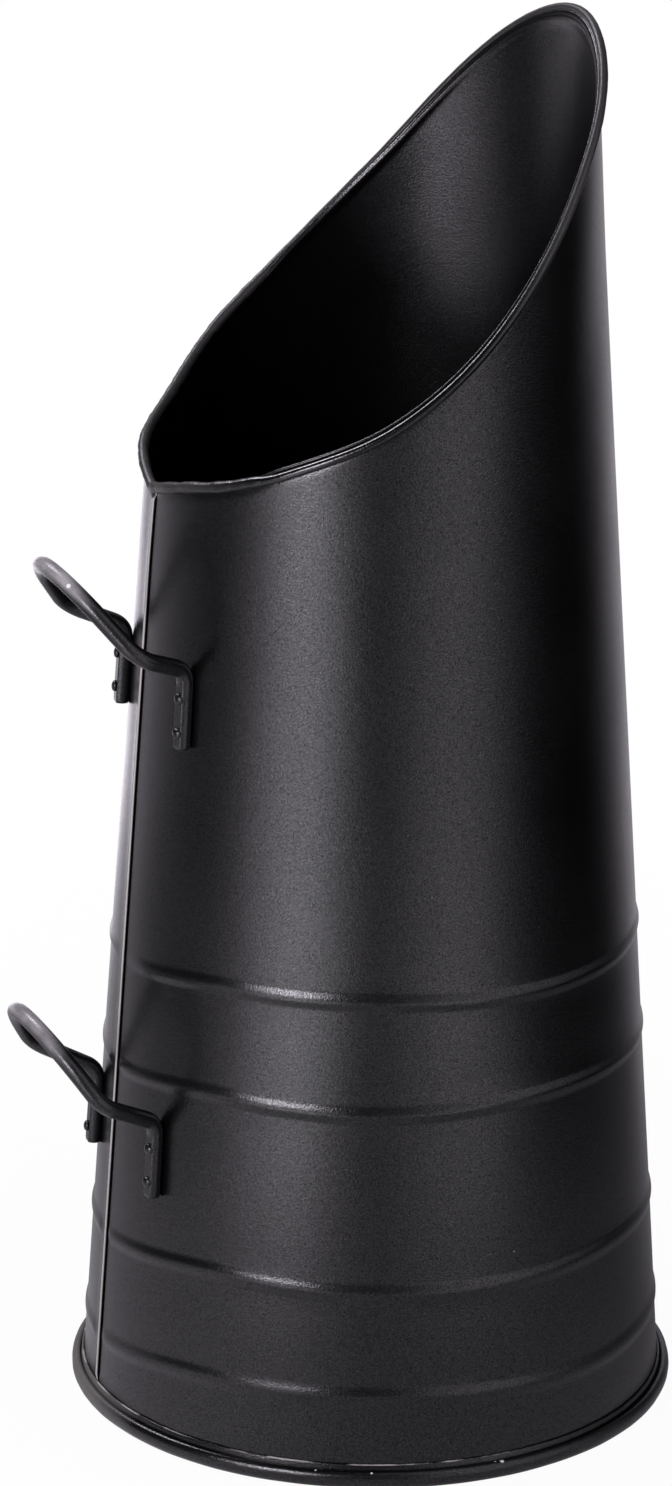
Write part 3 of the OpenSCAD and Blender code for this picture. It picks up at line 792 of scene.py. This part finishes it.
def make_paint(name, colour, roughness, grain_bump, metallic=0.0, dust_and_top_light_grey=0.0, chips=(), worn_and_highlit_top=None,
               fold=False, dull=None):
    """Satin paint on steel, with the marks of use and the painted light that are asked for.

    dust_and_top_light_grey is how bright a bow's upward faces get, dusty and with painted light from
    above, chips are (centre, radius) of chipped spots and worn_and_highlit_top is the height of a scuffed
    edge with a painted highlight. fold paints shade into the seam's groove and scuffs with a painted
    highlight along its step. dull is how much rougher and how grey a stretch round the axis is, and the
    stretch's middle, full half and end.
    """
    material = bpy.data.materials.new(name)
    nodes = PaintNodes(material)
    grain = nodes.noise(GRAIN_SCALE, GRAIN_DETAIL)
    base = nodes.blend(nodes.spread(grain, 0.0, 1.0), (*[c * GRAIN_LOW for c in colour], 1),
                       (*[c * GRAIN_HIGH for c in colour], 1))
    rough = nodes.spread(nodes.noise(MOTTLE_SCALE, MOTTLE_DETAIL), roughness * MOTTLE_LOW,
                         roughness * MOTTLE_HIGH)
    shine = nodes.spread(nodes.noise(SHINE_SCALE, SHINE_DETAIL), SHINE - SHINE_SPREAD * grain_bump,
                         SHINE + SHINE_SPREAD * grain_bump)
    bare_and_highlit = nodes.specks()
    marks = [nodes.chip(*spot) for spot in chips]
    # dust and painted light from above: the bows' upward faces turn lighter grey
    if dust_and_top_light_grey:
        base = nodes.blend(nodes.dust_and_top_light_share(), base, (dust_and_top_light_grey, dust_and_top_light_grey * 0.97, dust_and_top_light_grey * 0.99, 1))
    if dull:
        rougher, grey, *stretch = dull
        share = nodes.stretch(*stretch)
        rough = nodes.math("ADD", rough, nodes.math("MULTIPLY", share, rougher))
        marks.append(nodes.math("MULTIPLY", share, grey))
    # scuffs and a painted highlight along an upper edge
    if worn_and_highlit_top:
        marks.append(nodes.worn_and_highlit_edge(worn_and_highlit_top))
    if fold:
        # worn paint and a painted highlight along the seam step's corner
        marks.append(nodes.math("MULTIPLY", nodes.seam_stripe(*FOLD_WORN_HIGHLIGHT), FOLD_WORN_HIGHLIGHT_MOST))
        # painted shade: the seam's groove loses its shine and stays black
        shine = nodes.blend(nodes.seam_stripe(*FOLD_PAINTED_SHADE), shine, 0.0, data_type="FLOAT")
    for mark in marks:
        bare_and_highlit = nodes.math("MAXIMUM", bare_and_highlit, mark)
    bump = nodes.add("Bump", {"Height": grain, "Strength": grain_bump, "Distance": GRAIN_HEIGHT})
    shader = nodes.add("BsdfPrincipled", {
        "Base Color": nodes.blend(bare_and_highlit, base, BARE_AND_HIGHLIGHT_COLOUR), "Roughness": rough, "Metallic": metallic,
        "Specular IOR Level": shine, "Normal": bump.outputs["Normal"]})
    nodes.add("OutputMaterial", {"Surface": shader.outputs["BSDF"]})
    return material


BLACK, SATIN_BLACK, STEEL = (0.0009, 0.0009, 0.001), (0.003, 0.003, 0.0033), (0.35, 0.35, 0.36)
# Dull stretches: how much rougher, how grey, middle, how far from it in full and where they end
RIM_DULL = (0.25, 0.025, radians(66), radians(130), radians(152))
FOOT_DULL = (0.35, 0.13, radians(160), radians(15), radians(35))
HANDLE_CHIPS = (((-140.3, -18.6, 361.0), 1.0),)
FOOT_CHIPS = (((-49.5, -112.6, 6.7), 0.5), ((-69.1, -101.5, 6.8), 0.4), ((3.2, -122.6, 6.8), 0.9),
              ((0.5, -122.0, 6.9), 0.5))

SHEET_PAINT = make_paint("sheet_paint", BLACK, 0.24, 0.45, fold=True)
RIM_PAINT = make_paint("rim_paint", BLACK, 0.17, 0.3, dull=RIM_DULL)
# the bows' upward faces get dust and painted light from above
HANDLE_PAINT = make_paint("handle_paint", SATIN_BLACK, 0.28, 0.35, dust_and_top_light_grey=0.32, chips=HANDLE_CHIPS)
RIVET_PAINT = make_paint("rivet_paint", SATIN_BLACK, 0.30, 0.25)
# the collar's upper edge gets scuffs and a painted highlight
FOOT_PAINT = make_paint("foot_paint", BLACK, 0.24, 0.45, chips=FOOT_CHIPS, worn_and_highlit_top=FOOT_H,
                        dull=FOOT_DULL)
WIRE_STEEL = make_paint("plain_wire", STEEL, 0.35, 0.2, metallic=1.0)
PAINTS = {"body_sheet": SHEET_PAINT, "base_plate": SHEET_PAINT, "mouth_rod": RIM_PAINT,
          "foot_collar": FOOT_PAINT, "foot_wire": WIRE_STEEL, "upper_bow": HANDLE_PAINT,
          "lower_bow": HANDLE_PAINT, "stud_": RIVET_PAINT}

for piece in [o for o in bpy.context.scene.objects if o.type == "MESH"]:
    for start, paint in PAINTS.items():
        if piece.name.startswith(start):
            piece.data.materials.clear()
            piece.data.materials.append(paint)

# ------------------------------------------------------------------ camera

CAMERA_AWAY = 2.390      # metres from the body's axis to the camera, along the floor
CAMERA_HEIGHT = 1.077
CAMERA_AZIMUTH = radians(-114.2)
CAMERA_PITCH = radians(18.60)
CAMERA_YAW = radians(-0.393)
CAMERA_ROLL = radians(0.456)
FOCAL_PX = 6238          # focal length in pixels of the 672 x 1486 photograph
PHOTO_H = 1486
SENSOR = 36.0


def make_camera():
    data = bpy.data.cameras.new("camera")
    data.sensor_width = SENSOR
    data.lens = FOCAL_PX / PHOTO_H * SENSOR
    data.clip_start, data.clip_end = 0.1, 50
    camera = bpy.data.objects.new("camera", data)
    bpy.context.scene.collection.objects.link(camera)
    forward = Vector((sin(CAMERA_YAW) * cos(CAMERA_PITCH), cos(CAMERA_YAW) * cos(CAMERA_PITCH),
                      -sin(CAMERA_PITCH)))
    right = Vector((cos(CAMERA_YAW), -sin(CAMERA_YAW), 0))
    up = right.cross(forward)
    rolled = cos(CAMERA_ROLL) * right + sin(CAMERA_ROLL) * up
    upward = cos(CAMERA_ROLL) * up - sin(CAMERA_ROLL) * right
    basis = Matrix((rolled, upward, -forward)).transposed().to_4x4()
    basis.translation = Vector((0, -CAMERA_AWAY, CAMERA_HEIGHT))
    camera.matrix_world = Matrix.Rotation(CAMERA_AZIMUTH + pi / 2, 4, "Z") @ basis
    bpy.context.scene.camera = camera


make_camera()

# ------------------------------------------------------------------ the studio's brightness

# Everything here goes by the angle right of the camera, seen from the object, in degrees.
ROOM_TINT = (1.02, 0.965, 1.07)
KEY, FILL = 4.35, 1.35   # brightness of the two panels
ROOM = 0.20              # and of what stands round them
CARD = (50, 74)          # which passes into a black card on the right
ROOM_END = (105, 130)    # and into the pale backdrop on the left
LEFT_BACKDROP = ((0.50, *ROOM_END), (0.60, 130, 165), (2.2, 146, 176))   # brightness, start, full
RIGHT_BACKDROP, RIGHT_POWER = 0.60, 1.2
# Panels: middle, soft reach to the left and to the right. Their ends and the backdrop: start and
# full. Lower down, towards the floor, the panels stand a little closer together.
UPPER_ROOM = {"key": (-33.5, 20, 12), "fill": (36, 21, 30), "fill_end": (54, 70),
              "backdrop": (102, 168)}
LOWER_ROOM = {"key": (-28, 23, 12), "fill": (31, 21, 30), "fill_end": (40, 61),
              "backdrop": (118, 150)}


def lobe(angle, centre, left, right):
    """A soft light: 1 at its centre and about a third at its left and right reach."""
    reach = left if angle < centre else right
    return float(np.exp(-((angle - centre) / reach) ** 2))


def step(edge0, edge1, angle):
    return float(smooth(edge0, edge1, angle))


def room_level(angle, room=UPPER_ROOM):
    """Brightness round the object: key and fill panels, black card, pale backdrop."""
    level = ROOM * (1 - step(*CARD, angle)) * (1 - step(*ROOM_END, -angle))
    level += KEY * lobe(angle, *room["key"])
    level += FILL * lobe(angle, *room["fill"]) * (1 - step(*room["fill_end"], angle))
    level += sum(brightness * step(start, full, -angle) for brightness, start, full in LEFT_BACKDROP)
    return level + RIGHT_BACKDROP * step(*room["backdrop"], angle) ** RIGHT_POWER


def lower_room_level(angle):
    return room_level(angle, LOWER_ROOM)


def low_level(angle):
    """Brightness of the studio's floor some way off, seen in the inside of the mouth."""
    plain = 0.03 + 0.9 * step(86, 112, -angle) + 0.7 * step(130, 170, angle)
    return plain + 2.0 * lobe(angle, -27, 3.5, 9) + 2.4 * step(135, 170, -angle)


def high_level(angle):
    """Brightness of the studio well above the floor."""
    return 0.06 + 1.05 * lobe(angle, 44, 24, 42) + 0.5 * step(140, 175, abs(angle))


def floor_level(angle):
    """Brightness of the floor close to the foot, seen in the paint."""
    return 0.46 - 0.30 * lobe(angle, 106, 44, 50) + 0.34 * lobe(angle, -40, 50, 26)


# How steeply a direction rises, from where to where one brightness passes into the next
RISES = ((-0.14, 0.06, high_level), (-0.16, -0.24, lower_room_level), (-0.26, -0.36, low_level))
RING_STOPS = 32


def ring(nodes, where, level):
    """A colour that goes round the object's axis by one of the brightness functions."""
    turned = nodes.add("Mapping", {"Vector": where, "Rotation": (0, 0, -CAMERA_AZIMUTH)})
    gradient = nodes.add("TexGradient", {"Vector": turned.outputs["Vector"]}, gradient_type="RADIAL")
    ramp = nodes.add("ValToRGB", {"Fac": gradient.outputs["Fac"]})
    elements = ramp.color_ramp.elements
    while len(elements) > 1:
        elements.remove(elements[-1])
    for k in range(RING_STOPS):
        place = k / (RING_STOPS - 1)
        element = elements[0] if k == 0 else elements.new(place)
        element.position = place
        brightness = level(place * 360 - 180)
        element.color = (*[brightness * tint for tint in ROOM_TINT], 1)
    return ramp.outputs["Color"]


# ------------------------------------------------------------------ floor, world and lamps

FLOOR_R = 0.80           # metres
FLOOR_Z = -0.0002
FLOOR_COLOUR = (0.85, 0.85, 0.85, 1)
FOOT_REACH = 0.34        # from here to its edge the floor's own brightness passes into the room's
FLOOR_WHITE = 0.95       # the camera sees this share of plain white at the foot and all of it at the edge


def make_floor():
    """A white floor with the object's shadow, which the paint reflects by the studio's brightness."""
    bpy.ops.mesh.primitive_circle_add(vertices=128, radius=FLOOR_R, fill_type="NGON",
                                      location=(0, 0, FLOOR_Z))
    floor = bpy.context.object
    floor.name = "floor"
    material = bpy.data.materials.new("floor_white")
    nodes = Nodes(material)
    ray = nodes.add("LightPath").outputs
    place = nodes.add("TexCoord").outputs["Object"]
    away = nodes.vector("LENGTH", place, output="Value")
    reflected = nodes.blend(nodes.band(away, FOOT_REACH, FLOOR_R), ring(nodes, place, floor_level),
                            ring(nodes, place, lower_room_level))
    glow = nodes.add("Emission", {"Color": nodes.blend(ray["Is Camera Ray"], reflected, WHITE)})
    diffuse = nodes.add("BsdfDiffuse", {"Color": FLOOR_COLOUR})
    white = nodes.band(away, 0.0, FLOOR_R, low=FLOOR_WHITE)
    share = nodes.add("Math", {0: ray["Is Camera Ray"], 1: white, 2: ray["Is Glossy Ray"]},
                      operation="MULTIPLY_ADD")
    mix = nodes.add("MixShader", {"Fac": share.outputs[0], 1: diffuse.outputs[0], 2: glow.outputs[0]})
    nodes.add("OutputMaterial", {"Surface": mix.outputs[0]})
    floor.data.materials.append(material)


def make_world():
    """The studio's brightness in every direction; the camera itself sees white."""
    world = bpy.data.worlds.new("studio")
    bpy.context.scene.world = world
    nodes = Nodes(world)
    place = nodes.add("TexCoord").outputs["Generated"]
    rise = nodes.axes(place)["Z"]
    colour = ring(nodes, place, room_level)
    for start, end, level in RISES:
        colour = nodes.blend(nodes.band(rise, start, end), colour, ring(nodes, place, level))
    studio = nodes.add("Background", {"Color": colour})
    white = nodes.add("Background", {"Color": WHITE})
    seen = nodes.add("LightPath").outputs["Is Camera Ray"]
    mix = nodes.add("MixShader", {"Fac": seen, 1: studio.outputs[0], 2: white.outputs[0]})
    nodes.add("OutputWorld", {"Surface": mix.outputs[0]})


# Lamps, in metres, by the angle right of the camera
SOFTBOXES = {
    "crest": {"angle": -36, "distance": 1.7, "height": 0.72, "width": 0.7, "tall": 0.6,
              "radiance": 17.0},
    "top": {"angle": -130, "distance": 1.3, "height": 1.7, "width": 0.6, "tall": 0.6,
            "radiance": 15.0},
}
AIM_HEIGHT = 0.35        # the high one looks down at this height


def make_softbox(name, angle, distance, height, width, tall, radiance):
    """A soft lamp that faces the object."""
    data = bpy.data.lights.new(name, "AREA")
    data.shape = "RECTANGLE"
    data.size, data.size_y = width, tall
    data.energy = radiance * width * tall * pi
    data.color = [tint / max(ROOM_TINT) for tint in ROOM_TINT]
    lamp = bpy.data.objects.new(name, data)
    bpy.context.scene.collection.objects.link(lamp)
    turn = CAMERA_AZIMUTH + radians(angle)
    lamp.location = (distance * cos(turn), distance * sin(turn), height)
    aim = Vector((0, 0, min(height, AIM_HEIGHT))) - lamp.location
    lamp.rotation_euler = aim.to_track_quat("-Z", "Y").to_euler()
    lamp.visible_camera = False


make_floor()
make_world()
for lamp_name, box in SOFTBOXES.items():
    make_softbox(lamp_name, **box)

bpy.context.scene.view_settings.view_transform = "Standard"
